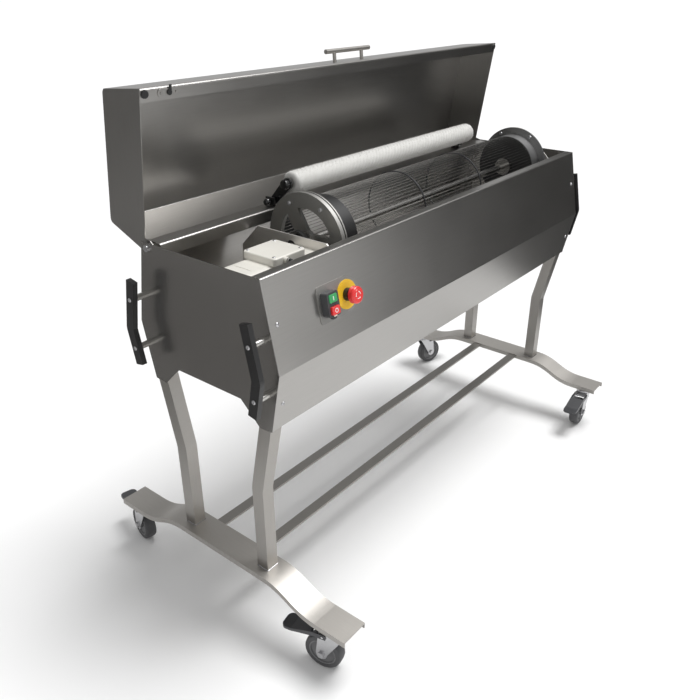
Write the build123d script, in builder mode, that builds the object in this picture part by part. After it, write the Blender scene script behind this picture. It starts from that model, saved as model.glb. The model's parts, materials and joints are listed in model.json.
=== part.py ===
from build123d import *
import os
from math import atan2, cos, degrees, hypot, radians, sin

os.makedirs("parts", exist_ok=True)

# A wheeled drum trimming machine: a long folded steel trough on a four-legged stand, a lid hinged
# along the rear edge, and inside it a wire drum over a cutting reel, a brush roller and a motor.
# Millimetres. X runs along the machine (-X is the motor end), -Y is the operator's side, +Z is up,
# and the floor is z = 0. Everything is drawn from the middle of the trough. The finished pieces are
# then moved so that the origin is on the floor under the middle of the machine's overall box, which
# the turned casters and their pedals make a little longer to the right and to the rear.
trough_x, trough_y = -38, -46

# ---- trough ---------------------------------------------------------------------------------
sheet = 2
half_length = 750
top_z, bend_z, skirt_z = 987, 780, 631
top_half, bend_half, skirt_half = 187, 229, 199
front_lip, rear_lip = 27, 47
front_lip_drop, rear_lip_drop = 12, 32
hem = 12
fold = 4
floor_z = 683
pocket_inner, pocket_outer = 105, 162
lid_arm_notch = 14

# ---- stand ----------------------------------------------------------------------------------
tube, tube_wall = 35, 2
leg_x = half_length - tube / 2
leg_y, leg_foot_z, leg_bend_z = 136, 200, 445
leg_lean = 0.21
skid_x, skid_width, skid_sheet, skid_flange = 735, 78, 3, 15
skid_half, skid_low_z, skid_high_z = 417, 155, 200
skid_low_y, skid_high_y, skid_bend = 288, 192, 170
stretcher_y, stretcher_width, stretcher_thick = 78, 30, 6

# ---- casters --------------------------------------------------------------------------------
caster_y, wheel_r, wheel_width, trail = 365, 50, 32, 35
fork_sheet, fork_gap = 3, 1.6
crown_z, plate_z, plate_thick = 121, 148, 4
pedal_pivot, pedal_wall = (30, 112), 2.5
caster_turn = {"rear_left": 78, "front_left": 102, "front_right": 183, "rear_right": 342}

# ---- lid, in its closed position as (y, z) ----------------------------------------------------
lid_half, lid_open = 743, 81.7
hinge_y, hinge_z = 168, 975
lid_rim_z, lid_top_z = 993, 1119
lid_front_low, lid_front_high = -175, -147
lid_rear_high, lid_rear_low, lid_rear_z = 155, 184, 1005
lid_flange = 29
hinge_bolt_r, running = 5, 0.05

# ---- drum, reel and drives --------------------------------------------------------------------
drum_z, drum_shaft_r, wire_r, wire_ring, wire_count = 936, 10, 0.8, 97.7, 68
drum_left, drum_right, right_collar = -407, 630, 50
end_ring_r, hoop_x = 121, (-17, 288)
plate_left_x, plate_right_x, bearing_plate = -459, 700, 4
reel_z, reel_r, reel_shaft_r = 800, 32, 8
reel_left, reel_right = -380, 606
motor_y, motor_z = -44, 896
drum_pulley_r, motor_pulley_r, pulley_x, pulley_width = 30, 20, -439, 12
belt_gap, belt_thick = 0.3, 2.5

# ---- brush --------------------------------------------------------------------------------
brush_y, brush_z, brush_r, brush_left, brush_right = 108, 1050, 31.5, -338, 540
brush_pivot_y, brush_pivot_z = 158, 1000
brush_core_r, brush_pin_r, arm_thick = 6, 4, 6

# ---- handles and controls -----------------------------------------------------------------
handle_out, grip_thick, grip_width, handle_inset = 48, 13, 25, 20
grip_top_z, grip_low_z, standoff_z = 905, 690, (857, 731)
control_drop, switch_x, estop_x = 108, -574, -506


def save(builder, name):
    """Label a finished piece, place it from the machine's origin and write it as one STEP file."""
    builder.part.label = name
    builder.part.move(Location((trough_x, trough_y, 0)))
    export_step(builder.part, f"parts/{name}.step")


def edge_y(z):
    """Half width of the end panels at height z."""
    if z > bend_z:
        return bend_half + (top_half - bend_half) * (z - bend_z) / (top_z - bend_z)
    return bend_half + (skirt_half - bend_half) * (bend_z - z) / (bend_z - skirt_z)


def wall_plane(x, side, z):
    """Plane on the outside of a long wall at height z; its z axis points away from the trough."""
    low, high = (bend_z, top_z) if z > bend_z else (skirt_z, bend_z)
    lean = atan2(edge_y(low) - edge_y(high), high - low)
    return Plane(origin=(x, side * edge_y(z), z), x_dir=(1, 0, 0), z_dir=(0, side * cos(lean), sin(lean)))


# =============================== trough ====================================================
wall_points = [(top_half - 1, top_z - 1), (bend_half - 1, bend_z), (skirt_half - 1, skirt_z + 1)]
wall_end = (skirt_half - 1 - hem, skirt_z + 1)
# the bottom hem is cut away where a leg passes it
hem_relief_y = skirt_half - sheet - 0.4 - 9

with BuildPart() as front_panel:
    with BuildSketch(Plane.YZ.offset(-half_length)):
        with BuildLine():
            lip_y = -top_half + front_lip
            front_points = [(lip_y, top_z - front_lip_drop), (lip_y, top_z - 1)]
            front_points += [(-y, z) for y, z in wall_points + [wall_end]]
            FilletPolyline(*front_points, radius=fold)
        trace(line_width=sheet)
    extrude(amount=2 * half_length)
    with Locations(*[(s * leg_x, -hem_relief_y, skirt_z) for s in (-1, 1)]):
        Box(tube + 6, 18, 10, mode=Mode.SUBTRACT)
save(front_panel, "front_panel")

with BuildPart() as rear_panel:
    with BuildSketch(Plane.YZ.offset(-half_length)):
        with BuildLine():
            lip_y = top_half - rear_lip
            rear_points = [(lip_y, top_z - rear_lip_drop), (lip_y, top_z - 1)] + wall_points + [wall_end]
            FilletPolyline(*rear_points, radius=fold)
        trace(line_width=sheet)
    extrude(amount=2 * half_length)
    # the lid's hinge ears swing down through a notch at each end of the rear lip
    with Locations(*[(s * half_length, top_half - 25, top_z - 15) for s in (-1, 1)]):
        Box(2 * lid_arm_notch, 70, 50, mode=Mode.SUBTRACT)
    with Locations(*[(s * leg_x, hem_relief_y, skirt_z) for s in (-1, 1)]):
        Box(tube + 6, 18, 10, mode=Mode.SUBTRACT)
save(rear_panel, "rear_panel")

with BuildPart() as trough_floor:
    with BuildSketch(Plane.XY.offset(floor_z)):
        Rectangle(2 * half_length - 1, 2 * edge_y(floor_z) - 2 * sheet - 4)
        # trimmings fall out through the slot under the reel
        with Locations(((reel_left + reel_right) / 2, 0)):
            SlotOverall(reel_right - reel_left - 100, 90, mode=Mode.SUBTRACT)
    extrude(amount=sheet)
save(trough_floor, "trough_floor")

panel_half = [(top_half, top_z), (bend_half, bend_z), (skirt_half, skirt_z)]
panel_half += [(pocket_outer, skirt_z - 3), (pocket_inner + 25, floor_z - 23), (pocket_inner, floor_z)]
panel_outline = panel_half + [(-y, z) for y, z in reversed(panel_half)]

for side, name in ((-1, "left_end_panel"), (1, "right_end_panel")):
    with BuildPart() as end_panel:
        with BuildSketch(Plane.YZ.offset(half_length if side > 0 else -half_length - sheet)):
            with BuildLine():
                Polyline(*panel_outline, close=True)
            make_face()
            with Locations((hinge_y, hinge_z)):
                Circle(hinge_bolt_r + running, mode=Mode.SUBTRACT)
        extrude(amount=sheet)
    save(end_panel, name)

# =============================== bearing plates and bearings ==============================
plate_shapes = {
    "left_bearing_plate": (plate_left_x, 966, 112, 172, [(motor_y, motor_z, 12)]),
    "right_bearing_plate": (plate_right_x, 985, 105, 160, []),
}
for name, (x, plate_top, flat_half, full_half, extra_holes) in plate_shapes.items():
    chamfer_z = plate_top - (full_half - flat_half)
    with BuildPart() as bearing_support:
        with BuildSketch(Plane.YZ.offset(x)):
            with BuildLine():
                right_side = [(full_half, floor_z + sheet), (full_half, chamfer_z), (flat_half, plate_top)]
                Polyline(*right_side, *[(-y, z) for y, z in reversed(right_side)], close=True)
            make_face()
            for hole_y, hole_z, hole_r in [(0, drum_z, 16), (0, reel_z, 13)] + extra_holes:
                with Locations((hole_y, hole_z)):
                    Circle(hole_r, mode=Mode.SUBTRACT)
        extrude(amount=bearing_plate)
        # foot that is bolted to the trough floor
        foot_x = x + bearing_plate / 2 - (12 if x < 0 else -12)
        with Locations((foot_x, 0, floor_z + sheet + 1.5)):
            Box(28, 2 * full_half - 20, 3)
    save(bearing_support, name)

with BuildPart() as shaft_bearings:
    left_face, right_face = plate_left_x + bearing_plate, plate_right_x + bearing_plate
    bearing_places = [
        (left_face, drum_z, 26, drum_shaft_r),
        (right_face, drum_z, 26, drum_shaft_r),
        (plate_left_x - 12, reel_z, 22, reel_shaft_r),
        (right_face, reel_z, 22, reel_shaft_r),
    ]
    for x, z, outer_r, bore_r in bearing_places:
        with BuildSketch(Plane.YZ.offset(x)):
            with Locations((0, z)):
                Circle(outer_r)
                Circle(bore_r + running, mode=Mode.SUBTRACT)
        extrude(amount=12)
save(shaft_bearings, "shaft_bearings")

# =============================== motors and drive =========================================
with BuildPart() as gearmotor:
    with BuildSketch(Plane.YZ.offset(-720)):
        with Locations((motor_y, motor_z)):
            RectangleRounded(112, 108, 26)
    extrude(amount=165)
    with BuildSketch(Plane.YZ.offset(-555)):
        with Locations((motor_y, motor_z)):
            RectangleRounded(104, 96, 10)
    extrude(amount=96)
    with BuildSketch(Plane.YZ.offset(-736)):
        with Locations((motor_y, motor_z)):
            Circle(40)
    extrude(amount=16)
save(gearmotor, "gearmotor")

box_x, box_top, box_base = -562, 968, motor_z + 54
with BuildPart() as terminal_box:
    with BuildSketch(Plane.XY.offset(box_base)):
        with Locations((box_x, motor_y)):
            RectangleRounded(106, 102, 10)
    extrude(amount=box_top - box_base)
    fillet(terminal_box.faces().sort_by(Axis.Z)[-1].edges(), 4)
    with Locations(Plane(origin=(box_x - 18, motor_y - 51, box_base + 9), z_dir=(0, -1, 0))):
        Cylinder(7, 14, align=(Align.CENTER, Align.CENTER, Align.MIN))
        Cylinder(4, 20, align=(Align.CENTER, Align.CENTER, Align.MIN))
save(terminal_box, "terminal_box")

with BuildPart() as reel_motor:
    with BuildSketch(Plane.YZ.offset(-700)):
        with Locations((0, reel_z)):
            Circle(38)
    extrude(amount=170)
    with BuildSketch(Plane.YZ.offset(-690)):
        with Locations((0, (reel_z + floor_z + sheet) / 2)):
            Rectangle(64, reel_z - floor_z - sheet)
    extrude(amount=150)
save(reel_motor, "reel_motor")

with BuildPart() as motor_pulley:
    with BuildSketch(Plane.YZ.offset(pulley_x)):
        with Locations((motor_y, motor_z)):
            Circle(motor_pulley_r)
    extrude(amount=pulley_width)
    with BuildSketch(Plane.YZ.offset(plate_left_x + 0.5)):
        with Locations((motor_y, motor_z)):
            Circle(8)
    extrude(amount=pulley_x - plate_left_x - 0.5)
save(motor_pulley, "motor_pulley")

with BuildPart() as drive_belt:
    for gap, mode in ((belt_gap + belt_thick, Mode.ADD), (belt_gap, Mode.SUBTRACT)):
        with BuildSketch(Plane.YZ.offset(pulley_x)):
            with Locations((0, drum_z)):
                Circle(drum_pulley_r + gap)
            with Locations((motor_y, motor_z)):
                Circle(motor_pulley_r + gap)
            make_hull()
        extrude(amount=pulley_width, mode=mode)
save(drive_belt, "drive_belt")

# =============================== drum ======================================================
with BuildPart() as drum_wires:
    with BuildSketch(Plane.YZ.offset(drum_left + 13)):
        with Locations((0, drum_z)):
            with PolarLocations(wire_ring, wire_count):
                Circle(wire_r)
    extrude(amount=drum_right - drum_left - 13)
save(drum_wires, "drum_wires")

with BuildPart() as drum_hoops:
    for x in hoop_x:
        with BuildSketch(Plane.YZ.offset(x - 2)):
            with Locations((0, drum_z)):
                Circle(wire_ring + wire_r + 2.6)
                Circle(wire_ring + wire_r + 0.1, mode=Mode.SUBTRACT)
        extrude(amount=4)
save(drum_hoops, "drum_hoops")

spoke_half, aperture_r, hub_r = 20, 83, 28
with BuildPart() as drum_left_wheel:
    with BuildSketch(Plane.YZ.offset(drum_left)):
        with Locations((0, drum_z)):
            Circle(end_ring_r)
            Circle(aperture_r, mode=Mode.SUBTRACT)
            Circle(hub_r)
            for turn in (59, 179, 299):
                with Locations(Location((0, 0), turn)):
                    with Locations((aperture_r / 2, 0)):
                        Rectangle(aperture_r + 8, 2 * spoke_half)
            Circle(drum_shaft_r + 0.02, mode=Mode.SUBTRACT)
    extrude(amount=12)
    with BuildSketch(Plane.YZ.offset(drum_left + 16)):
        with Locations((0, drum_z)):
            Circle(end_ring_r)
            Circle(wire_ring + wire_r + 4, mode=Mode.SUBTRACT)
    extrude(amount=4)
save(drum_left_wheel, "drum_left_wheel")

with BuildPart() as drum_black_rings:
    # band round the wires beside the left wheel, and the disc that closes the far end
    with BuildSketch(Plane.YZ.offset(drum_left + 22)):
        with Locations((0, drum_z)):
            Circle(wire_ring + wire_r + 3)
            Circle(wire_ring + wire_r + 0.1, mode=Mode.SUBTRACT)
    extrude(amount=60)
    with BuildSketch(Plane.YZ.offset(drum_right)):
        with Locations((0, drum_z)):
            Circle(wire_ring + wire_r)
            Circle(drum_shaft_r + 0.02, mode=Mode.SUBTRACT)
    extrude(amount=6)
save(drum_black_rings, "drum_black_rings")

with BuildPart() as drum_right_ring:
    for offset_x, depth, outer_r, inner_r in ((6, right_collar, 98.5, 92), (6 + right_collar, 6, end_ring_r, 92)):
        with BuildSketch(Plane.YZ.offset(drum_right + offset_x)):
            with Locations((0, drum_z)):
                Circle(outer_r)
                Circle(inner_r, mode=Mode.SUBTRACT)
        extrude(amount=depth)
save(drum_right_ring, "drum_right_ring")

with BuildPart() as drum_shaft:
    shaft_steps = [
        (plate_left_x + 1, plate_right_x + 16, drum_shaft_r),
        (pulley_x, pulley_x + pulley_width, drum_pulley_r),
        (drum_left - 12, drum_left, 26),
        (drum_right - 18, drum_right, 28),
    ]
    for start, stop, radius in shaft_steps:
        with BuildSketch(Plane.YZ.offset(start)):
            with Locations((0, drum_z)):
                Circle(radius)
        extrude(amount=stop - start)
save(drum_shaft, "drum_shaft")

with BuildPart() as drum_bolts:
    for face_x, bolt_ring in ((drum_left, 101), (drum_right + 6 + right_collar, 110)):
        with BuildSketch(Plane.YZ.offset(face_x)):
            with Locations((0, drum_z)):
                with PolarLocations(bolt_ring, 6, start_angle=60):
                    Circle(5.5)
        extrude(amount=-4, taper=20)
save(drum_bolts, "drum_bolts")

# =============================== reel and bed knife =======================================
with BuildPart() as reel_shaft:
    with BuildSketch(Plane.YZ.offset(-528)):
        with Locations((0, reel_z)):
            Circle(reel_shaft_r)
    extrude(amount=plate_right_x + 16 + 528)
    with BuildSketch(Plane.YZ.offset(-514)):
        with Locations((0, reel_z)):
            Circle(15)
    extrude(amount=32)
save(reel_shaft, "reel_shaft")

blade_count, blade_turn = 4, 150
with BuildSketch(Plane.YZ.offset(reel_left + 6)) as blade_profile:
    with Locations((0, reel_z)):
        with PolarLocations(reel_r - 5, blade_count):
            Rectangle(10, 3)
# the builder has no twisted extrusion, so each blade is swept with a turn about the reel's axis
twisted_blades = [
    Solid.extrude_linear_with_rotation(
        face, (reel_left + 6, 0, reel_z), (reel_right - reel_left - 12, 0, 0), blade_turn
    )
    for face in blade_profile.sketch.faces()
]
with BuildPart() as reel_blades:
    add(twisted_blades)
    for x in (reel_left, reel_right - 6):
        with BuildSketch(Plane.YZ.offset(x)):
            with Locations((0, reel_z)):
                Circle(reel_r)
                Circle(reel_shaft_r + 0.02, mode=Mode.SUBTRACT)
        extrude(amount=6)
save(reel_blades, "reel_blades")

with BuildPart() as bed_knife:
    knife_y, knife_z, knife_width = 28, 818, 38
    with Locations(((reel_left + reel_right) / 2, knife_y + knife_width / 2, knife_z + 3)):
        Box(reel_right - reel_left - 30, knife_width, 6)
    with Locations(*[(x, knife_y + knife_width - 6, (knife_z + floor_z + sheet) / 2) for x in (reel_left + 30, reel_right - 30)]):
        Box(16, 10, knife_z - floor_z - sheet)
save(bed_knife, "bed_knife")

# =============================== brush =====================================================
with BuildPart() as brush_pile:
    with BuildSketch(Plane.YZ.offset(brush_left)):
        with Locations((brush_y, brush_z)):
            Circle(brush_r)
            Circle(brush_core_r + 0.02, mode=Mode.SUBTRACT)
    extrude(amount=brush_right - brush_left)
    fillet(brush_pile.edges().filter_by(GeomType.CIRCLE).sort_by(SortBy.RADIUS)[-2:], 8)
save(brush_pile, "brush_pile")

arm_left, arm_right = brush_left - 8 - arm_thick, brush_right + 8
with BuildPart() as brush_core:
    with BuildSketch(Plane.YZ.offset(arm_left - 1)):
        with Locations((brush_y, brush_z)):
            Circle(brush_core_r)
    extrude(amount=arm_right + arm_thick + 2 - arm_left)
save(brush_core, "brush_core")

with BuildPart() as brush_arms:
    for x in (arm_left, arm_right):
        with BuildSketch(Plane.YZ.offset(x)):
            with Locations((brush_y, brush_z)):
                Circle(15)
            with Locations((brush_pivot_y, brush_pivot_z)):
                Circle(11)
            make_hull()
            with Locations((brush_y, brush_z)):
                Circle(brush_core_r + running, mode=Mode.SUBTRACT)
            with Locations((brush_pivot_y, brush_pivot_z)):
                Circle(brush_pin_r + running, mode=Mode.SUBTRACT)
        extrude(amount=arm_thick)
    # round knob on the outside of each arm
    for x, out in ((arm_left - 2, -12), (arm_right + arm_thick + 2, 12)):
        with BuildSketch(Plane.YZ.offset(x)):
            with Locations((brush_y, brush_z)):
                Circle(13)
        extrude(amount=out)
        fillet(brush_arms.faces().sort_by(Axis.X)[-1 if out > 0 else 0].edges(), 4)
        with BuildSketch(Plane.YZ.offset(x)):
            with Locations((brush_y, brush_z)):
                Circle(12)
                Circle(brush_core_r + 2, mode=Mode.SUBTRACT)
        extrude(amount=2 if out < 0 else -2)
save(brush_arms, "brush_arms")

with BuildPart() as brush_brackets:
    for x, pin_start in ((arm_left - 10, arm_left - 4), (arm_right + arm_thick + 4, arm_right - 2)):
        with Locations((x + 3, brush_pivot_y + 4, top_z + 11)):
            Box(6, 30, 22)
        with BuildSketch(Plane.YZ.offset(pin_start)):
            with Locations((brush_pivot_y, brush_pivot_z)):
                Circle(brush_pin_r)
        extrude(amount=arm_thick + 6)
save(brush_brackets, "brush_brackets")

# =============================== lid =======================================================
opened = radians(lid_open)


def lid_point(y, z):
    """World (y, z) of a point given in the lid's closed position, with the lid standing open."""
    dy, dz = y - hinge_y, z - hinge_z
    return hinge_y + dy * cos(opened) + dz * sin(opened), hinge_z - dy * sin(opened) + dz * cos(opened)


def lid_plane(x):
    """Plane across the lid whose x and y are the closed position's Y and Z, measured from the hinge."""
    return Plane(origin=(x, hinge_y, hinge_z), x_dir=(0, cos(opened), -sin(opened)), z_dir=(1, 0, 0))


def from_hinge(points):
    """Closed-position (y, z) points measured from the hinge axis."""
    return [(y - hinge_y, z - hinge_z) for y, z in points]


lid_outline = [
    (lid_front_low, lid_rim_z),
    (lid_front_high, lid_top_z),
    (lid_rear_high, lid_top_z),
    (lid_rear_low, lid_rear_z),
]
with BuildPart() as lid_shell:
    with BuildSketch(lid_plane(-lid_half + sheet)):
        with BuildLine():
            inner = sheet / 2
            shell_line = [
                (lid_front_low + lid_flange, lid_rim_z + inner),
                (lid_front_low + inner, lid_rim_z + inner),
                (lid_front_high + inner, lid_top_z - inner),
                (lid_rear_high - inner, lid_top_z - inner),
                (lid_rear_low - inner, lid_rear_z),
            ]
            FilletPolyline(*from_hinge(shell_line), radius=fold)
        trace(line_width=sheet)
    extrude(amount=2 * (lid_half - sheet))
save(lid_shell, "lid_shell")

with BuildPart() as lid_ends:
    ear = [(lid_rear_low, hinge_z + 14), (hinge_y + 14, hinge_z), (hinge_y + 7, hinge_z - 12)]
    ear += [(hinge_y - 7, hinge_z - 12), (hinge_y - 14, hinge_z), (hinge_y - 16, lid_rim_z)]
    for x in (-lid_half, lid_half - sheet):
        with BuildSketch(lid_plane(x)) as end_sketch:
            with BuildLine():
                Polyline(*from_hinge(lid_outline + ear), close=True)
            make_face()
            fillet(end_sketch.vertices().sort_by(Axis.Y)[-2:], 12)
            Circle(hinge_bolt_r + running, mode=Mode.SUBTRACT)
        extrude(amount=sheet)
save(lid_ends, "lid_ends")

# the handle stands on the front wall of the lid
handle_x, handle_up, handle_high, handle_length, handle_post, foot_gap = -8, 47, 28, 188, 118, 0.04
front_dy, front_dz = lid_front_high - lid_front_low, lid_top_z - lid_rim_z
front_run = hypot(front_dy, front_dz)
foot_point = lid_point(lid_front_low + front_dy * handle_up / front_run, lid_rim_z + front_dz * handle_up / front_run)
bar_point = lid_point(
    lid_front_low + (front_dy * handle_up - front_dz * handle_high) / front_run,
    lid_rim_z + (front_dz * handle_up + front_dy * handle_high) / front_run,
)
post_dir = (0, bar_point[0] - foot_point[0], bar_point[1] - foot_point[1])
with BuildPart() as lid_handle:
    for side in (-1, 1):
        post = Plane(origin=(handle_x + side * handle_post / 2, *foot_point), z_dir=post_dir)
        with BuildSketch(post.offset(foot_gap)):
            Circle(5)
        extrude(amount=handle_high - foot_gap)
    with BuildSketch(Plane.YZ.offset(handle_x - handle_length / 2)):
        with Locations(bar_point):
            Circle(6)
    extrude(amount=handle_length)
save(lid_handle, "lid_handle")


def rim_plane(x, inset):
    """Plane on the underside of the lid's front flange; its z axis points down when closed."""
    y, z = lid_point(lid_front_low + inset, lid_rim_z)
    return Plane(origin=(x, y, z), x_dir=(1, 0, 0), z_dir=(0, -sin(opened), -cos(opened)))


with BuildPart() as lid_bumpers:
    for x in (-731, 731):
        with BuildSketch(rim_plane(x, 12)):
            Circle(9)
        extrude(amount=4.5, taper=12)
save(lid_bumpers, "lid_bumpers")

latch_x, latch_inset = -668, 14
with BuildPart() as latch_plate:
    with BuildSketch(rim_plane(latch_x, latch_inset)):
        SlotOverall(60, 18)
        Circle(3 + running, mode=Mode.SUBTRACT)
    extrude(amount=1.5)
    for x in (-20, 20):
        with BuildSketch(rim_plane(latch_x + x, latch_inset).offset(1.5)):
            Circle(4)
        extrude(amount=1.6)
save(latch_plate, "latch_plate")

with BuildPart() as latch_lever:
    with BuildSketch(rim_plane(latch_x, latch_inset).offset(1.8)):
        Circle(6)
        with Locations((2, 8)):
            Rectangle(6, 16)
    extrude(amount=2.4)
    with BuildSketch(rim_plane(latch_x, latch_inset).offset(0.3)):
        Circle(3)
    extrude(amount=1.5)
save(latch_lever, "latch_lever")

with BuildPart() as lid_pivot_bolts:
    for side in (-1, 1):
        bolt_steps = [
            (half_length + sheet, half_length + sheet + 5, 8, 0),
            (lid_half - sheet - 2, half_length + sheet, hinge_bolt_r, 0),
            (lid_half + 0.4, half_length - 0.2, 10, hinge_bolt_r),
        ]
        for start, stop, outer_r, inner_r in bolt_steps:
            with BuildSketch(Plane.YZ.offset(side * start)):
                with Locations((hinge_y, hinge_z)):
                    Circle(outer_r)
                    if inner_r:
                        Circle(inner_r, mode=Mode.SUBTRACT)
            extrude(amount=side * (stop - start))
save(lid_pivot_bolts, "lid_pivot_bolts")

# =============================== handles ===================================================
grip_line = [(edge_y(z) - handle_inset, z) for z in (grip_top_z, bend_z, grip_low_z)]
grip_x = half_length + sheet + handle_out - grip_thick
corners = [(side, end) for side in (-1, 1) for end in (-1, 1)]

with BuildPart() as handle_grips:
    for side, end in corners:
        with BuildSketch(Plane.YZ.offset(side * grip_x)):
            with BuildLine():
                FilletPolyline(*[(end * y, z) for y, z in grip_line], radius=20)
            trace(line_width=grip_width)
        extrude(amount=side * grip_thick)
save(handle_grips, "handle_grips")

grip_center = {z: edge_y(z) - handle_inset for z in standoff_z}
with BuildPart() as handle_standoffs:
    for side, end in corners:
        for z, y in grip_center.items():
            with BuildSketch(Plane.YZ.offset(side * (half_length + sheet))):
                with Locations((end * y, z)):
                    Circle(8)
            extrude(amount=side * (handle_out - grip_thick))
save(handle_standoffs, "handle_standoffs")

with BuildPart() as case_screws:
    for side, end in corners:
        for z, y in grip_center.items():
            with BuildSketch(Plane.YZ.offset(side * (grip_x + grip_thick))):
                with Locations((end * y, z)):
                    Circle(5)
            extrude(amount=side * 2)
        for z in (886, 700):
            with BuildSketch(wall_plane(side * (half_length - 22), end, z)):
                Circle(5)
            extrude(amount=3, taper=20)
save(case_screws, "case_screws")

# =============================== controls ==================================================
control_z = top_z - control_drop * cos(atan2(bend_half - top_half, top_z - bend_z))


def control_plane(x, out=0):
    """Plane parallel to the front wall through the controls, a distance out from the wall."""
    return wall_plane(x, -1, control_z).offset(out)


plate_thick, switch_deep, switch_wide, switch_tall = 1.5, 20, 38, 56
with BuildPart() as control_plate:
    with BuildSketch(control_plane(estop_x)):
        Circle(43)
        with Locations((-48, 0)):
            RectangleRounded(96, 86, 8)
    extrude(amount=plate_thick)
save(control_plate, "control_plate")

button_wide, button_tall, button_gap, button_up = 26, 19, 0.4, 13.5
with BuildPart() as switch_body:
    with BuildSketch(control_plane(switch_x, plate_thick)):
        RectangleRounded(switch_wide, switch_tall, 7)
    extrude(amount=switch_deep)
    with BuildSketch(control_plane(switch_x, plate_thick + switch_deep)):
        with Locations((0, button_up), (0, -button_up)):
            RectangleRounded(button_wide + 2 * button_gap, button_tall + 2 * button_gap, 4)
    extrude(amount=-12, mode=Mode.SUBTRACT)
    # small pilot light under the two buttons
    with BuildSketch(control_plane(switch_x, plate_thick + switch_deep - 3)):
        with Locations((0, -switch_tall / 2 - 3)):
            RectangleRounded(14, 6, 2)
    extrude(amount=-8)
save(switch_body, "switch_body")

for name, up, proud in (("start_button", button_up, 2), ("stop_button", -button_up, 6)):
    with BuildPart() as button:
        with BuildSketch(control_plane(switch_x, plate_thick + switch_deep - 7)):
            with Locations((0, up)):
                RectangleRounded(button_wide, button_tall, 3.6)
        extrude(amount=7 + proud)
        fillet(button.faces().sort_by(Axis.Y)[0].edges(), 1.5)
    save(button, name)

with BuildPart() as estop_legend:
    with BuildSketch(control_plane(estop_x, plate_thick)):
        Circle(34)
        Circle(15.1, mode=Mode.SUBTRACT)
    extrude(amount=2)
save(estop_legend, "estop_legend")

with BuildPart() as estop_collar:
    with BuildSketch(control_plane(estop_x, plate_thick)):
        Circle(15)
        Circle(8.3, mode=Mode.SUBTRACT)
    extrude(amount=14)
save(estop_collar, "estop_collar")

with BuildPart() as estop_mushroom:
    with BuildSketch(control_plane(estop_x, plate_thick + 6)):
        Circle(8)
    extrude(amount=16)
    with BuildSketch(control_plane(estop_x, plate_thick + 21)):
        Circle(20)
    extrude(amount=14)
    fillet(estop_mushroom.faces().sort_by(Axis.Y)[0].edges(), 5)
save(estop_mushroom, "estop_mushroom")

# =============================== stand =====================================================
leg_top_z = floor_z - 4
leg_line = [(leg_y, leg_foot_z), (leg_y, leg_bend_z), (leg_y + leg_lean * (leg_top_z - leg_bend_z), leg_top_z)]
with BuildPart() as legs:
    for width, mode in ((tube, Mode.ADD), (tube - 2 * tube_wall, Mode.SUBTRACT)):
        for side, end in corners:
            with BuildSketch(Plane.YZ.offset(side * leg_x - width / 2)):
                with BuildLine():
                    FilletPolyline(*[(end * y, z) for y, z in leg_line], radius=60)
                trace(line_width=width)
            extrude(amount=width, mode=mode)
save(legs, "legs")

skid_half_line = [(skid_half, skid_low_z), (skid_low_y, skid_low_z), (skid_high_y, skid_high_z)]


def skid_line(drop):
    """Side view of a skid's top surface, lowered by drop."""
    points = skid_half_line + [(-y, z) for y, z in reversed(skid_half_line)]
    return [(y, z - drop) for y, z in points]


with BuildPart() as skids:
    for side in (-1, 1):
        # a solid bar bent to the skid's line, then hollowed from below into a channel
        layers = [
            (skid_width, 0, skid_flange, Mode.ADD),
            (skid_width - 2 * skid_sheet, skid_sheet, skid_flange + 5, Mode.SUBTRACT),
        ]
        for width, top_drop, low_drop, mode in layers:
            with BuildSketch(Plane.YZ.offset(side * skid_x - width / 2)):
                with BuildLine():
                    top_line = FilletPolyline(*skid_line(top_drop), radius=skid_bend)
                    low_line = FilletPolyline(*skid_line(low_drop), radius=skid_bend)
                    Line(top_line @ 0, low_line @ 0)
                    Line(top_line @ 1, low_line @ 1)
                make_face()
            extrude(amount=width, mode=mode)
save(skids, "skids")

with BuildPart() as stretchers:
    with Locations(*[(0, y, skid_high_z - 6) for y in (-stretcher_y, stretcher_y)]):
        Box(2 * (skid_x - skid_width / 2), stretcher_width, stretcher_thick)
save(stretchers, "stretchers")

# =============================== casters ===================================================
with BuildPart() as caster_plates:
    for side, end in corners:
        with BuildSketch(Plane.XY.offset(plate_z)):
            with Locations((side * skid_x, end * caster_y)):
                RectangleRounded(62, 62, 6)
                with GridLocations(46, 46, 2, 2):
                    Circle(4.2, mode=Mode.SUBTRACT)
        extrude(amount=plate_thick)
        with BuildSketch(Plane.XY.offset(plate_z)):
            with Locations((side * skid_x, end * caster_y)):
                Circle(11)
        extrude(amount=-6)
save(caster_plates, "caster_plates")

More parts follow.
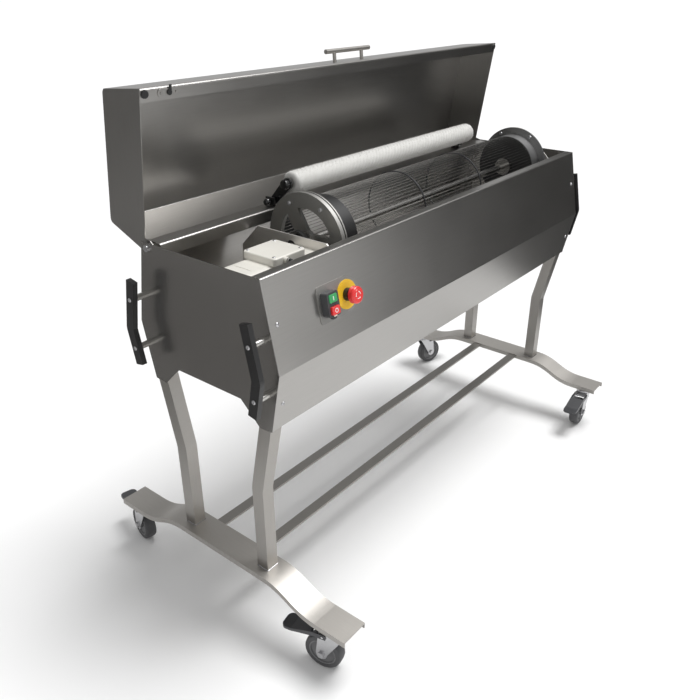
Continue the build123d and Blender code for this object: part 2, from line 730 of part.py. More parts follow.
fork_inner = wheel_width / 2 + fork_gap
fork_outer = fork_inner + fork_sheet
for corner, turn in caster_turn.items():
    x = skid_x if "right" in corner else -skid_x
    y = caster_y if "rear" in corner else -caster_y
    ahead = (cos(radians(turn)), sin(radians(turn)), 0)
    across = (ahead[1], -ahead[0], 0)
    side_view = Plane(origin=(x, y, 0), x_dir=ahead, z_dir=across)
    top_view = Plane(origin=(x, y, 0), x_dir=ahead, z_dir=(0, 0, 1))

    with BuildPart() as fork:
        for start in (-fork_outer, fork_inner):
            with BuildSketch(side_view.offset(start)):
                with BuildLine():
                    Polyline((-22, crown_z), (42, crown_z), (trail + 15, wheel_r), (trail - 15, wheel_r), close=True)
                make_face()
                with Locations((trail, wheel_r)):
                    Circle(15)
            extrude(amount=fork_sheet)
        with BuildSketch(top_view.offset(crown_z)):
            Circle(24)
            with Locations((10, 0)):
                Rectangle(64, 2 * fork_outer)
        extrude(amount=-3)
        with BuildSketch(top_view.offset(crown_z)):
            Circle(25)
        extrude(amount=20, taper=8)
        # axle with its bolt head and nut, and the brake pedal's pin
        for reach, radius in ((fork_outer + 1, 6), (fork_outer + 4.5, 3)):
            centre = (trail, wheel_r) if radius == 6 else pedal_pivot
            with BuildSketch(side_view.offset(-reach)):
                with Locations(centre):
                    Circle(radius)
            extrude(amount=2 * reach)
        for start in (-fork_outer - 6, fork_outer):
            with BuildSketch(side_view.offset(start)):
                with Locations((trail, wheel_r)):
                    RegularPolygon(9, 6)
            extrude(amount=6)
    save(fork, f"{corner}_fork")

    with BuildPart() as wheel:
        for outer_r, inner_r, width in ((wheel_r, 37, wheel_width), (36.98, 6 + running, 22)):
            with BuildSketch(side_view.offset(-width / 2)):
                with Locations((trail, wheel_r)):
                    Circle(outer_r)
                    Circle(inner_r, mode=Mode.SUBTRACT)
            extrude(amount=width)
        rims = wheel.edges().filter_by(GeomType.CIRCLE).sort_by(SortBy.RADIUS)[-2:]
        fillet(rims, 6)
    save(wheel, f"{corner}_wheel")

    with BuildPart() as pedal:
        arm_in = fork_outer + 0.6
        for start in (-arm_in - pedal_wall, arm_in):
            with BuildSketch(side_view.offset(start)):
                with BuildLine():
                    Polyline((22, 119), (60, 117), (118, 100), (118, 92), (60, 104), (22, 105), close=True)
                make_face()
                with Locations(pedal_pivot):
                    Circle(3 + running, mode=Mode.SUBTRACT)
            extrude(amount=pedal_wall)
        with BuildSketch(side_view.offset(-arm_in - pedal_wall)):
            with BuildLine():
                Polyline((62, 115.5), (118, 100), (146, 98), (146, 91), (116, 92), (62, 106), close=True)
            make_face()
        extrude(amount=2 * (arm_in + pedal_wall))
        fillet(pedal.edges().filter_by(Axis.Z).sort_by_distance((x, y, 0))[-2:], 14)
    save(pedal, f"{corner}_pedal")
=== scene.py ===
import json
from math import cos, pi, radians, sin

import bmesh
import bpy
import numpy as np
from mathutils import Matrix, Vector


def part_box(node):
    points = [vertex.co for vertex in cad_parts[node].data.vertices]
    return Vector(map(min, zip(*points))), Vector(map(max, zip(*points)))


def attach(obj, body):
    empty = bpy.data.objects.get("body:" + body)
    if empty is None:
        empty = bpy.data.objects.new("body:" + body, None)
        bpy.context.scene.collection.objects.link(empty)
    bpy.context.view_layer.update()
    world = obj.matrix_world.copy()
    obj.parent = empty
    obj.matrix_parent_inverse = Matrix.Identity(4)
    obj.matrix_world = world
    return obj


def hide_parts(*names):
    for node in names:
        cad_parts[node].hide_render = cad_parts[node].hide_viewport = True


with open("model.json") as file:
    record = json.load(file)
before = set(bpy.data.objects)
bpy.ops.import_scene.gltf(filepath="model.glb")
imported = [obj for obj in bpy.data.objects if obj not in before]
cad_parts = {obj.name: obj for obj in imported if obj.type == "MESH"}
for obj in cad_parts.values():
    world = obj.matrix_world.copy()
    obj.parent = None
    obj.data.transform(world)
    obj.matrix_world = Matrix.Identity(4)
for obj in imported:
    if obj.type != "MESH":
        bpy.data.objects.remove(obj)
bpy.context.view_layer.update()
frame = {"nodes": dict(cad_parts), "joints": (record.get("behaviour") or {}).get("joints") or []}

bl_info = {
    "name": "Drum trimming machine",
    "version": (1, 0, 0),
    "blender": (4, 5, 0),
    "location": "3D View > Sidebar > Trimmer",
    "description": "Finishes and small pieces for a wheeled steel drum trimming machine",
    "category": "Object",
}

NODES = frame["nodes"]
JOINTS = {joint["name"]: joint for joint in frame["joints"]}
CORNERS = ("front_left", "front_right", "rear_left", "rear_right")
LENGTH = dict(subtype="DISTANCE", unit="LENGTH", min=0.0)
COLOUR = dict(subtype="COLOR", size=3, min=0.0, max=1.0)


def lowest(node):
    return np.array(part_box(node)[0])


def highest(node):
    return np.array(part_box(node)[1])


def middle(node):
    return (lowest(node) + highest(node)) / 2


# the middle of the trough, which the stage and the welds are placed from
TROUGH = np.array([middle("front_panel")[0], (lowest("front_panel")[1] + highest("rear_panel")[1]) / 2, 0.0])

# ---- sizes and colours a user would change ----------------------------------------------------
class SteelSettings(bpy.types.PropertyGroup):
    sheet_colour: bpy.props.FloatVectorProperty(
        name="Sheet", description="Colour of the folded stainless sheet", default=(0.40, 0.39, 0.375), **COLOUR)
    tube_colour: bpy.props.FloatVectorProperty(
        name="Tube", description="Colour of the legs, skids and stretchers", default=(0.37, 0.355, 0.335), **COLOUR)
    wire_colour: bpy.props.FloatVectorProperty(
        name="Wire", description="Colour of the drum's drawn wire", default=(0.50, 0.49, 0.47), **COLOUR)
    grain: bpy.props.FloatProperty(
        name="Grain", description="Spacing of the brushed lines", default=0.0012, **LENGTH)


class PaintSettings(bpy.types.PropertyGroup):
    motor_colour: bpy.props.FloatVectorProperty(
        name="Motor", description="Cream paint on both motors", default=(0.78, 0.76, 0.70), **COLOUR)
    black_colour: bpy.props.FloatVectorProperty(
        name="Black plastic", description="Grips, knobs and the drum's black rings", default=(0.006, 0.006, 0.0065),
        **COLOUR)
    stop_colour: bpy.props.FloatVectorProperty(
        name="Stop", description="Red of the stop buttons", default=(0.76, 0.022, 0.022), **COLOUR)
    legend_colour: bpy.props.FloatVectorProperty(
        name="Legend", description="Yellow disc round the emergency stop", default=(0.84, 0.52, 0.012), **COLOUR)


class BrushSettings(bpy.types.PropertyGroup):
    pile_colour: bpy.props.FloatVectorProperty(
        name="Pile", description="Nylon bristle colour", default=(0.82, 0.81, 0.78), **COLOUR)
    bristles: bpy.props.IntProperty(
        name="Bristles", description="Loose bristles standing on the pile", default=36000, min=0, max=60000)
    bristle_length: bpy.props.FloatProperty(
        name="Bristle length", description="How far a bristle stands out of the pile", default=0.0052, **LENGTH)


class StageSettings(bpy.types.PropertyGroup):
    floor_colour: bpy.props.FloatVectorProperty(
        name="Floor", description="Plain pale floor", default=(0.92, 0.92, 0.92), **COLOUR)
    sky: bpy.props.FloatProperty(name="Sky", description="Strength of the even light all round", default=0.52, min=0.0)
    sun: bpy.props.FloatProperty(
        name="Sun", description="Strength of the broad soft light from above", default=2.3, min=0.0)
    camera_place: bpy.props.FloatVectorProperty(
        name="Camera", description="Where the camera stands, from the floor under the middle of the trough",
        default=(-1.6866, -1.1629, 1.5169), subtype="TRANSLATION", size=3)
    camera_turn: bpy.props.FloatVectorProperty(
        name="Camera turn", description="Camera rotation",
        default=(radians(62.88), 0.0, radians(-51.391)), subtype="EULER", size=3)
    lens: bpy.props.FloatProperty(name="Lens", description="Focal length", default=37.39, min=1.0, unit="CAMERA")


# ---- shader nodes -------------------------------------------------------------------------
class Value:
    """A socket that shader maths can be written with."""

    def __init__(self, shader, socket):
        self.shader, self.socket = shader, socket

    def _math(self, operation, first, second=0.0):
        return self.shader.node("ShaderNodeMath", {"operation": operation}, {0: first, 1: second})

    def __add__(self, other):
        return self._math("ADD", self, other)

    def __mul__(self, other):
        return self._math("MULTIPLY", self, other)


class Finish:
    """One material and the nodes behind its Principled shader."""

    def __init__(self, name, **constants):
        self.material = bpy.data.materials.new(name)
        self.material.use_nodes = True
        self.tree = self.material.node_tree
        self.surface = self.tree.nodes["Principled BSDF"]
        self.set(**constants)

    def node(self, kind, settings=None, inputs=None, output=0):
        made = self.tree.nodes.new(kind)
        for key, value in (settings or {}).items():
            setattr(made, key, value)
        for key, value in (inputs or {}).items():
            self.join(made.inputs[key], value)
        return Value(self, made.outputs[output])

    def join(self, socket, value):
        if isinstance(value, Value):
            self.tree.links.new(value.socket, socket)
        elif hasattr(value, "__len__") and socket.type == "RGBA":
            socket.default_value = (*value[:3], 1.0)
        else:
            socket.default_value = value

    def set(self, **inputs):
        for name, value in inputs.items():
            self.join(self.surface.inputs[name.replace("_", " ")], value)
        return self

    def place(self):
        return self.node("ShaderNodeTexCoord", output="Object")

    def stretched(self, scale):
        return self.node("ShaderNodeMapping", inputs={"Vector": self.place(), "Scale": scale})

    def noise(self, scale, detail=3.0, stretch=(1.0, 1.0, 1.0)):
        return self.node("ShaderNodeTexNoise", inputs={
            "Vector": self.stretched(stretch), "Scale": scale, "Detail": detail, "Roughness": 0.5})

    def blend(self, factor, first, second):
        return self.node("ShaderNodeMix", {"data_type": "RGBA"},
                         {"Factor": factor, 6: first, 7: second}, output=2)

    def bump(self, height, strength, distance):
        return self.set(Normal=self.node("ShaderNodeBump", inputs={
            "Height": height, "Strength": strength, "Distance": distance}))


def brushed(name, colour, rough, stretch, grain=0.0012, strength=0.05, smudge=0.06, streak=0.10):
    """Metal with fine parallel lines along the axis whose stretch is small, and faint handling marks."""
    finish = Finish(name, Metallic=1.0)
    lines = finish.noise(1.0 / grain, 2.0, stretch)
    marks = finish.noise(7.0, 4.0)
    dark = tuple(c * (1.0 - streak) for c in colour)
    light = tuple(min(1.0, c * (1.0 + streak)) for c in colour)
    finish.set(Base_Color=finish.blend(lines * 0.75 + marks * 0.25, dark, light),
               Roughness=marks * smudge + lines * smudge + (rough - smudge))
    return finish.bump(lines, strength, 0.0002)


def moulded(name, colour, rough, grain=900.0, strength=0.12, wear=0.05, **constants):
    """Plastic, rubber or paint with a fine grain and a faint change of shade from handling."""
    finish = Finish(name, **constants)
    grainy, marks = finish.noise(grain, 2.0), finish.noise(9.0, 5.0)
    light = tuple(min(1.0, c * 1.15 + wear * 0.25) for c in colour)
    finish.set(Base_Color=finish.blend(marks, colour, light), Roughness=marks * 0.12 + (rough - 0.06))
    return finish.bump(grainy, strength, 0.0002)


def make_finishes(scene):
    """Every material of the machine, by a maker's name."""
    steel, paint, brush = scene.trimmer_steel, scene.trimmer_paint, scene.trimmer_brush
    sheet, tube, wire = (tuple(c) for c in (steel.sheet_colour, steel.tube_colour, steel.wire_colour))
    grain = steel.grain
    black = tuple(paint.black_colour)
    along, upright = (0.015, 1.0, 1.0), (1.0, 1.0, 0.015)
    made = {
        "trough_sheet": brushed("trough_sheet", sheet, 0.30, along, grain),
        # end panels: the sheet colour darkened to 0.85 times, painted shade for end faces turned away from the light
        "end_painted_shade": brushed("end_painted_shade", tuple(c * 0.85 for c in sheet), 0.24, upright, grain),
        # trough floor and bearing plates: the sheet colour lightened 1.9 times, painted light that lifts the shade
        # inside the trough
        "inner_sheet_painted_light": brushed("inner_sheet_painted_light", tuple(c * 1.9 for c in sheet), 0.50, along, grain),
        "lid_sheet": brushed("lid_sheet", tuple(c * 0.95 for c in sheet), 0.30, along, grain),
        # lid ends: the sheet colour darkened to 0.8 times, painted shade for the lid's end faces turned away from the
        # light
        "lid_end_painted_shade": brushed("lid_end_painted_shade", tuple(c * 0.8 for c in sheet), 0.34, upright, grain),
        "leg_tube": brushed("leg_tube", tube, 0.38, upright, grain),
        # skids: the tube colour lightened 1.1 times, painted light for skid tops facing up into the broad light
        "skid_sheet_painted_light": brushed("skid_sheet_painted_light", tuple(c * 1.1 for c in tube), 0.50, (1.0, 0.015, 1.0), grain),
        # stretchers: the tube colour darkened to 0.75 times, painted shade for bars that sit low under the trough
        "stretcher_bar_painted_shade": brushed("stretcher_bar_painted_shade", tuple(c * 0.75 for c in tube), 0.42, along, grain),
        "drawn_wire": brushed("drawn_wire", wire, 0.22, along, 0.0006, 0.03),
        "turned_bar": brushed("turned_bar", wire, 0.20, along, 0.0006, 0.05),
        "machined_plate": brushed("machined_plate", (0.36, 0.355, 0.34), 0.50, (1.0, 1.0, 1.0), 0.0016, 0.08),
        "cast_ring": brushed("cast_ring", (0.34, 0.34, 0.34), 0.40, (1.0, 1.0, 1.0), 0.0022, 0.15),
        "ground_blade": brushed("ground_blade", (0.42, 0.42, 0.43), 0.26, along, 0.0008, 0.05),
        "zinc_plate": brushed("zinc_plate", (0.52, 0.52, 0.53), 0.30, (1.0, 1.0, 1.0), 0.004, 0.06),
        "motor_paint": moulded("motor_paint", tuple(paint.motor_colour), 0.36, 260.0, 0.10, Coat_Weight=0.3,
                               Coat_Roughness=0.2),
        "dark_paint": moulded("dark_paint", (0.03, 0.03, 0.033), 0.40, 300.0),
        "pedal_paint": moulded("pedal_paint", (0.035, 0.036, 0.040), 0.36, 300.0),
        "black_plastic": moulded("black_plastic", black, 0.42, 1100.0),
        "knob_plastic": moulded("knob_plastic", black, 0.16, 300.0, 0.03, Coat_Weight=0.5),
        "grip_plastic": moulded("grip_plastic", black, 0.33, 700.0, 0.2),
        "belt_rubber": moulded("belt_rubber", (0.014, 0.014, 0.014), 0.72, 600.0, 0.4),
        "tyre_rubber": moulded("tyre_rubber", (0.055, 0.055, 0.058), 0.62, 420.0, 0.3, 0.12),
        "hub_plastic": moulded("hub_plastic", (0.16, 0.16, 0.165), 0.48, 500.0),
        "switch_plastic": moulded("switch_plastic", (0.045, 0.047, 0.05), 0.45, 800.0),
        "stop_red": moulded("stop_red", tuple(paint.stop_colour), 0.28, 300.0, 0.04, Coat_Weight=0.35,
                            Coat_Roughness=0.15),
        "start_green": moulded("start_green", (0.02, 0.33, 0.09), 0.32, 300.0, 0.04, Coat_Weight=0.3),
        "legend_yellow": moulded("legend_yellow", tuple(paint.legend_colour), 0.44, 300.0, 0.04),
        "mark_white": moulded("mark_white", (0.85, 0.85, 0.84), 0.45, 300.0, 0.03),
        "lamp_lens": moulded("lamp_lens", (0.78, 0.74, 0.60), 0.20, 300.0, 0.03, Coat_Weight=0.5),
    }
    pile = Finish("nylon_pile", Roughness=0.72, Sheen_Weight=0.25, Subsurface_Weight=0.0)
    rings, tufts = pile.noise(420.0, 2.0, (0.6, 1.0, 1.0)), pile.noise(60.0, 3.0)
    light = tuple(brush.pile_colour)
    pile.set(Base_Color=pile.blend(rings * 0.6 + tufts * 0.4, tuple(c * 0.80 for c in light), light))
    made["nylon_pile"] = pile.bump(rings, 0.6, 0.001)
    return made


def coat(node, finish):
    """Give a CAD node one finish."""
    slots = NODES[node].data.materials
    slots.clear()
    slots.append(FINISHES[finish].material)
    NODES[node].data.polygons.foreach_set("material_index", np.zeros(len(NODES[node].data.polygons), np.int32))


# ---- surfaces from numpy ------------------------------------------------------------------
def new_piece(name, points, faces, finish, body, slot, smooth=True, replaces=()):
    """One mesh object from whole arrays: points (n, 3), faces (m, 3 or 4)."""
    mesh = bpy.data.meshes.new(name)
    mesh.from_pydata(np.asarray(points, float), [], np.asarray(faces, int).tolist())
    mesh.validate()
    mesh.materials.append(FINISHES[finish].material)
    mesh.polygons.foreach_set("use_smooth", np.full(len(mesh.polygons), smooth))
    piece = bpy.data.objects.new(name, mesh)
    bpy.context.scene.collection.objects.link(piece)
    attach(piece, body)
    if replaces:
        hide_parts(*replaces)
    return piece


def basis(axis):
    """Two unit vectors across a unit axis; the three make a right-handed set."""
    axis = np.asarray(axis, float) / np.linalg.norm(axis)
    helper = np.array([0.0, 0.0, 1.0]) if abs(axis[2]) < 0.9 else np.array([1.0, 0.0, 0.0])
    first = np.cross(helper, axis)
    first /= np.linalg.norm(first)
    return axis, first, np.cross(axis, first)


def ring_quads(rings, around, closed=False):
    """Quads between neighbouring rings of points; closed joins the last ring to the first."""
    i, j = np.meshgrid(np.arange(rings if closed else rings - 1), np.arange(around), indexing="ij")
    k, n = (j + 1) % around, (i + 1) % rings
    return np.stack([i * around + j, i * around + k, n * around + k, n * around + j], -1).reshape(-1, 4)


def round_turn(count):
    """Evenly spaced angles once round."""
    return np.linspace(0, 2 * pi, count, endpoint=False)


def rounded_loop(turn, wide, tall, power=0.5):
    """Superellipse (a, b) = (wide |cos u|^power, tall |sin u|^power) / 2 with the signs kept."""
    c, s = np.cos(turn), np.sin(turn)
    return np.stack([np.sign(c) * np.abs(c) ** power * wide / 2, np.sign(s) * np.abs(s) ** power * tall / 2], -1)


def lathe(profile, centre, axis, around=48, closed=False):
    """Turned surface: point(u, v) = centre + axis*along(v) + radius(v)*(cos u * a + sin u * b).

    The profile is (radius, along) pairs, walked so that outside lies on its right; a radius of 0 at
    either end closes on the axis, and a closed profile makes a ring.
    """
    axis, a, b = basis(axis)
    radius, along = np.array(profile, float).T
    turn = round_turn(around)
    rim = np.cos(turn)[None, :, None] * a + np.sin(turn)[None, :, None] * b
    points = np.asarray(centre) + along[:, None, None] * axis + radius[:, None, None] * rim
    return points.reshape(-1, 3), ring_quads(len(profile), around, closed)


def joined(parts):
    """Several (points, faces) as one."""
    points, faces, start = [], [], 0
    for some_points, some_faces in parts:
        points.append(some_points)
        faces.append(np.asarray(some_faces) + start)
        start += len(some_points)
    return np.concatenate(points), np.concatenate(faces)


def welded(piece, sharp=radians(35)):
    """Merge the doubled points of a piece's poles and seams and point its faces outwards."""
    work = bmesh.new()
    work.from_mesh(piece.data)
    bmesh.ops.remove_doubles(work, verts=work.verts, dist=1e-6)
    bmesh.ops.recalc_face_normals(work, faces=work.faces)
    work.to_mesh(piece.data)
    work.free()
    piece.data.set_sharp_from_angle(angle=sharp)
    return piece


def socket_screw(radius, height):
    """Profile of a domed screw head with a round recess, from the middle of the recess to its rim."""
    lip = radius * 0.5
    return [(0, height * 0.35), (lip * 0.95, height * 0.35), (lip, height * 0.42), (lip, height * 0.97),
            (lip * 1.12, height), (radius * 0.72, height * 0.90), (radius * 0.90, height * 0.66),
            (radius, height * 0.30), (radius, 0), (0, 0)]


def screws(name, places, radius, height, finish, body, slot, replaces=()):
    """Domed screw heads at (point, outward direction) places."""
    parts = [lathe(socket_screw(radius, height), point, out, 20) for point, out in places]
    return welded(new_piece(name, *joined(parts), finish, body, slot, replaces=replaces))


def bead(name, path, radius, finish, body, slot):
    """Weld bead along a closed path: a tube whose radius ripples as 1 - ripple*|sin|."""
    around, ripple, ripple_step = 8, 0.25, 1.1
    path = np.asarray(path, float)
    ahead = np.roll(path, -1, 0) - np.roll(path, 1, 0)
    ahead /= np.linalg.norm(ahead, axis=1)[:, None]
    up = np.array([0.0, 0.0, 1.0])
    across = np.cross(ahead, up)
    across /= np.linalg.norm(across, axis=1)[:, None]
    turn = round_turn(around)
    size = radius * (1 - ripple * np.abs(np.sin(np.arange(len(path)) * ripple_step)))
    points = path[:, None] + size[:, None, None] * (
        np.cos(turn)[None, :, None] * across[:, None] + np.sin(turn)[None, :, None] * up)
    faces = ring_quads(len(path), around, closed=True)
    return welded(new_piece(name, points.reshape(-1, 3), faces, finish, body, slot))


# ---- finishes on the CAD nodes ---------------------------------------------------------------
NODE_FINISH = {
    "front_panel": "trough_sheet", "rear_panel": "trough_sheet", "trough_floor": "inner_sheet_painted_light",
    "left_end_panel": "end_painted_shade", "right_end_panel": "end_painted_shade", "left_bearing_plate": "inner_sheet_painted_light",
    "right_bearing_plate": "inner_sheet_painted_light", "shaft_bearings": "dark_paint", "gearmotor": "motor_paint",
    "terminal_box": "motor_paint", "reel_motor": "motor_paint", "motor_pulley": "machined_plate",
    "drive_belt": "belt_rubber", "drum_wires": "drawn_wire", "drum_hoops": "dark_paint",
    "drum_left_wheel": "machined_plate", "drum_black_rings": "black_plastic", "drum_right_ring": "cast_ring",
    "drum_shaft": "turned_bar", "drum_bolts": "zinc_plate", "reel_shaft": "turned_bar",
    "reel_blades": "ground_blade", "bed_knife": "ground_blade", "brush_pile": "nylon_pile",
    "brush_core": "turned_bar", "brush_arms": "knob_plastic", "brush_brackets": "black_plastic",
    "lid_shell": "lid_sheet", "lid_ends": "lid_end_painted_shade", "lid_handle": "leg_tube",
    "lid_bumpers": "black_plastic", "latch_plate": "lid_sheet", "latch_lever": "black_plastic",
    "lid_pivot_bolts": "zinc_plate", "handle_grips": "grip_plastic", "handle_standoffs": "turned_bar",
    "case_screws": "zinc_plate", "control_plate": "machined_plate", "switch_body": "switch_plastic",
    "start_button": "start_green", "stop_button": "stop_red", "estop_legend": "legend_yellow",
    "estop_collar": "black_plastic", "estop_mushroom": "stop_red", "legs": "leg_tube", "skids": "skid_sheet_painted_light",
    "stretchers": "stretcher_bar_painted_shade", "caster_plates": "zinc_plate",
    **{f"{corner}_fork": "zinc_plate" for corner in CORNERS},
    **{f"{corner}_wheel": "tyre_rubber" for corner in CORNERS},
    **{f"{corner}_pedal": "pedal_paint" for corner in CORNERS},
}


class TRIMMER_OT_finishes(bpy.types.Operator):
    """Give every CAD piece its finish"""
    bl_idname = "trimmer.finishes"
    bl_label = "Finishes"

    def execute(self, context):
        FINISHES.update(make_finishes(context.scene))
        for node, finish in NODE_FINISH.items():
            coat(node, finish)
            NODES[node].data.set_sharp_from_angle(angle=radians(30))
        return {"FINISHED"}


class TRIMMER_OT_brush(bpy.types.Operator):
    """Make the brush roller's pile and its loose bristles"""
    bl_idname = "trimmer.brush"
    bl_label = "Brush pile"

    def execute(self, context):
        settings = context.scene.trimmer_brush
        low, high = lowest("brush_pile"), highest("brush_pile")
        centre, radius = (low + high) / 2, (high[1] - low[1]) / 2
        # pile: radius(u, x) = r - set_back + tufts along two helices, rounded off at both ends; a ring round
        # the core closes each end and the last ring joins the first
        around, along = 72, 260
        set_back, end_length, end_drop, bore = 0.0030, 0.008, 0.006, 0.007
        turn = round_turn(around)
        xx, tt = np.meshgrid(np.linspace(low[0], high[0], along), turn, indexing="ij")
        tufts = np.sin(tt * 9 + xx * 420) * 0.0006 + np.sin(tt * 23 - xx * 1300) * 0.0004
        end = np.clip(np.minimum(xx - low[0], high[0] - xx) / end_length, 0, 1)
        r = (radius - set_back + tufts) - end_drop * (1 - np.sqrt(1 - (1 - end) ** 2))
        xx = np.concatenate([xx[:1], xx, xx[-1:]])
        r = np.concatenate([np.full((1, around), bore), r, np.full((1, around), bore)])
        points = np.stack([xx, centre[1] + r * np.cos(turn), centre[2] + r * np.sin(turn)], -1)
        welded(new_piece("brush_pile_surface", points.reshape(-1, 3), ring_quads(along + 2, around, closed=True),
                         "nylon_pile", "brush", "bristle", replaces=("brush_pile",)), sharp=pi)
        # bristles: flat slivers that stand out of the pile, tip = root + length*(radial + a little lean)
        half_width, root_depth, margin = 0.00025, 0.0045, 0.006
        rng = np.random.default_rng(7)
        count = settings.bristles
        bx = rng.uniform(low[0] + margin, high[0] - margin, count)
        bt = rng.uniform(0, 2 * pi, count)
        out = np.stack([rng.normal(0, 0.25, count), np.cos(bt + rng.normal(0, 0.06, count)),
                        np.sin(bt + rng.normal(0, 0.06, count))], -1)
        side = np.stack([np.ones(count), -np.sin(bt) * rng.normal(0, 0.5, count),
                         np.cos(bt) * rng.normal(0, 0.5, count)], -1) * half_width
        root = np.stack([bx, centre[1] + (radius - root_depth) * np.cos(bt),
                         centre[2] + (radius - root_depth) * np.sin(bt)], -1)
        tip = root + out * (settings.bristle_length * rng.uniform(0.6, 1.0, count))[:, None]
        corners = np.stack([root - side, root + side, tip], 1).reshape(-1, 3)
        new_piece("brush_bristles", corners, np.arange(count * 3).reshape(-1, 3), "nylon_pile", "brush",
                  "bristle", smooth=False)
        return {"FINISHED"}


class TRIMMER_OT_casters(bpy.types.Operator):
    """Make each caster's tyre, hub and ball race"""
    bl_idname = "trimmer.casters"
    bl_label = "Casters"

    def execute(self, context):
        tyre = [(0.0370, 0.0158), (0.0440, 0.0160), (0.0472, 0.0150), (0.0490, 0.0120), (0.0498, 0.0070),
                (0.0500, 0.0), (0.0498, -0.0070), (0.0490, -0.0120), (0.0472, -0.0150), (0.0440, -0.0160),
                (0.0370, -0.0158)]
        hub = [(0.0062, 0.0158), (0.0110, 0.0158), (0.0118, 0.0150), (0.0122, 0.0085), (0.0140, 0.0070),
               (0.0300, 0.0085), (0.0325, 0.0105), (0.0335, 0.0142), (0.0345, 0.0150), (0.0369, 0.0150),
               (0.0369, -0.0150), (0.0345, -0.0150), (0.0335, -0.0142), (0.0325, -0.0105), (0.0300, -0.0085),
               (0.0140, -0.0070), (0.0122, -0.0085), (0.0118, -0.0150), (0.0110, -0.0158), (0.0062, -0.0158)]
        race = [(0.0225, -0.0200), (0.0262, -0.0192), (0.0270, -0.0165), (0.0255, -0.0120), (0.0262, -0.0100),
                (0.0262, -0.0060), (0.0240, -0.0035), (0.0225, -0.0035)]
        for corner in CORNERS:
            joint = JOINTS[f"{corner}_roll"]
            body = f"{corner}_wheel_body"
            welded(new_piece(f"{corner}_tyre", *lathe(tyre, joint["pos_m"], joint["axis"], 72, closed=True),
                             "tyre_rubber", body, "tyre_grey", replaces=(f"{corner}_wheel",)))
            welded(new_piece(f"{corner}_hub", *lathe(hub, joint["pos_m"], joint["axis"], 48, closed=True),
                             "hub_plastic", body, "grey_plastic"))
            # ball race under the mounting plate: two stacked rings round the swivel axis
            pivot = JOINTS[f"{corner}_swivel"]["pos_m"]
            place = (pivot[0], pivot[1], highest(f"{corner}_fork")[2])
            welded(new_piece(f"{corner}_race", *lathe(race, place, (0, 0, 1), 48, closed=True), "zinc_plate",
                             f"{corner}_fork_body", "zinc"))
        return {"FINISHED"}


class TRIMMER_OT_screws(bpy.types.Operator):
    """Make the screw heads of the trough, the grips, the drum and the terminal box"""
    bl_idname = "trimmer.screws"
    bl_label = "Screws"

    def execute(self, context):
        grips_low, grips_high = lowest("handle_grips"), highest("handle_grips")
        end_reach, waist_z, face_tilt, sunk = 0.004, 0.78, 0.2, 0.0015
        places = []
        # islands of the CAD screws give each head's place and the side it faces
        for centre in islands("case_screws"):
            side = np.sign(centre - TROUGH)
            if not grips_low[0] + end_reach < centre[0] < grips_high[0] - end_reach:
                base = centre.copy()
                base[0] = grips_high[0] if side[0] > 0 else grips_low[0]
                places.append((base, np.array([side[0], 0.0, 0.0])))
            else:
                tilt = face_tilt if centre[2] > waist_z else -face_tilt
                out = np.array([0.0, side[1] * cos(tilt), sin(tilt)])
                places.append((centre - out * sunk, out))
        screws("panel_screws", places, 0.0052, 0.0022, "zinc_plate", "machine", "zinc", ("case_screws",))
        heads = [(centre + np.array([0.002, 0, 0]), (-1.0, 0.0, 0.0)) for centre in islands("drum_bolts")]
        screws("drum_ring_screws", heads, 0.0058, 0.0040, "zinc_plate", "drum", "zinc", ("drum_bolts",))
        mid, high = middle("terminal_box"), highest("terminal_box")
        half_x, half_y, cover_middle = 0.043, 0.041, high[1] - 0.051
        corners = [((mid[0] + i * half_x, cover_middle + j * half_y, high[2] - 0.0002), (0, 0, 1))
                   for i in (-1, 1) for j in (-1, 1)]
        screws("terminal_box_screws", corners, 0.0042, 0.0018, "zinc_plate", "machine", "zinc")
        return {"FINISHED"}


def node_points(node):
    """Every point of a CAD node, as an (n, 3) array."""
    points = np.zeros(len(NODES[node].data.vertices) * 3)
    NODES[node].data.vertices.foreach_get("co", points)
    return points.reshape(-1, 3)


def islands(node):
    """Centre of each separate solid of a CAD node, from its loose parts."""
    mesh, points = NODES[node].data, node_points(node)
    keys, label = np.unique(np.round(points, 6), axis=0, return_inverse=True)
    label = label.reshape(-1)
    edges = np.zeros(len(mesh.edges) * 2, int)
    mesh.edges.foreach_get("vertices", edges)
    edges = label[edges.reshape(-1, 2)]
    group = np.arange(len(keys))
    while True:
        least = np.minimum(group[edges[:, 0]], group[edges[:, 1]])
        new = group.copy()
        np.minimum.at(new, edges[:, 0], least)
        np.minimum.at(new, edges[:, 1], least)
        if (new == group).all():
            break
        group = new
    found = [keys[group == g] for g in np.unique(group)]
    return [(p.min(0) + p.max(0)) / 2 for p in found]


class TRIMMER_OT_welds(bpy.types.Operator):
    """Lay the weld beads where the legs stand on the skids"""
    bl_idname = "trimmer.welds"
    bl_label = "Weld beads"

    def execute(self, context):
        top = highest("skids")[2] + 0.0006
        half, leg_y, steps = 0.0176, 0.136, 12
        leg_x = highest("legs")[0] - TROUGH[0] - 0.0175
        side, one = np.linspace(-1, 1, steps, endpoint=False), np.ones(steps)
        square = np.concatenate([np.stack(edge, -1) for edge in
                                 ((side, -one), (one, side), (-side, one), (-one, -side))]) * half
        for i, name_x in ((-1, "left"), (1, "right")):
            for j, name_y in ((-1, "front"), (1, "rear")):
                path = np.column_stack([square[:, 0] + i * leg_x + TROUGH[0], square[:, 1] + j * leg_y + TROUGH[1],
                                        np.full(4 * steps, top)])
                bead(f"{name_y}_{name_x}_leg_weld", path, 0.0016, "ground_blade", "machine", "stainless")
        return {"FINISHED"}


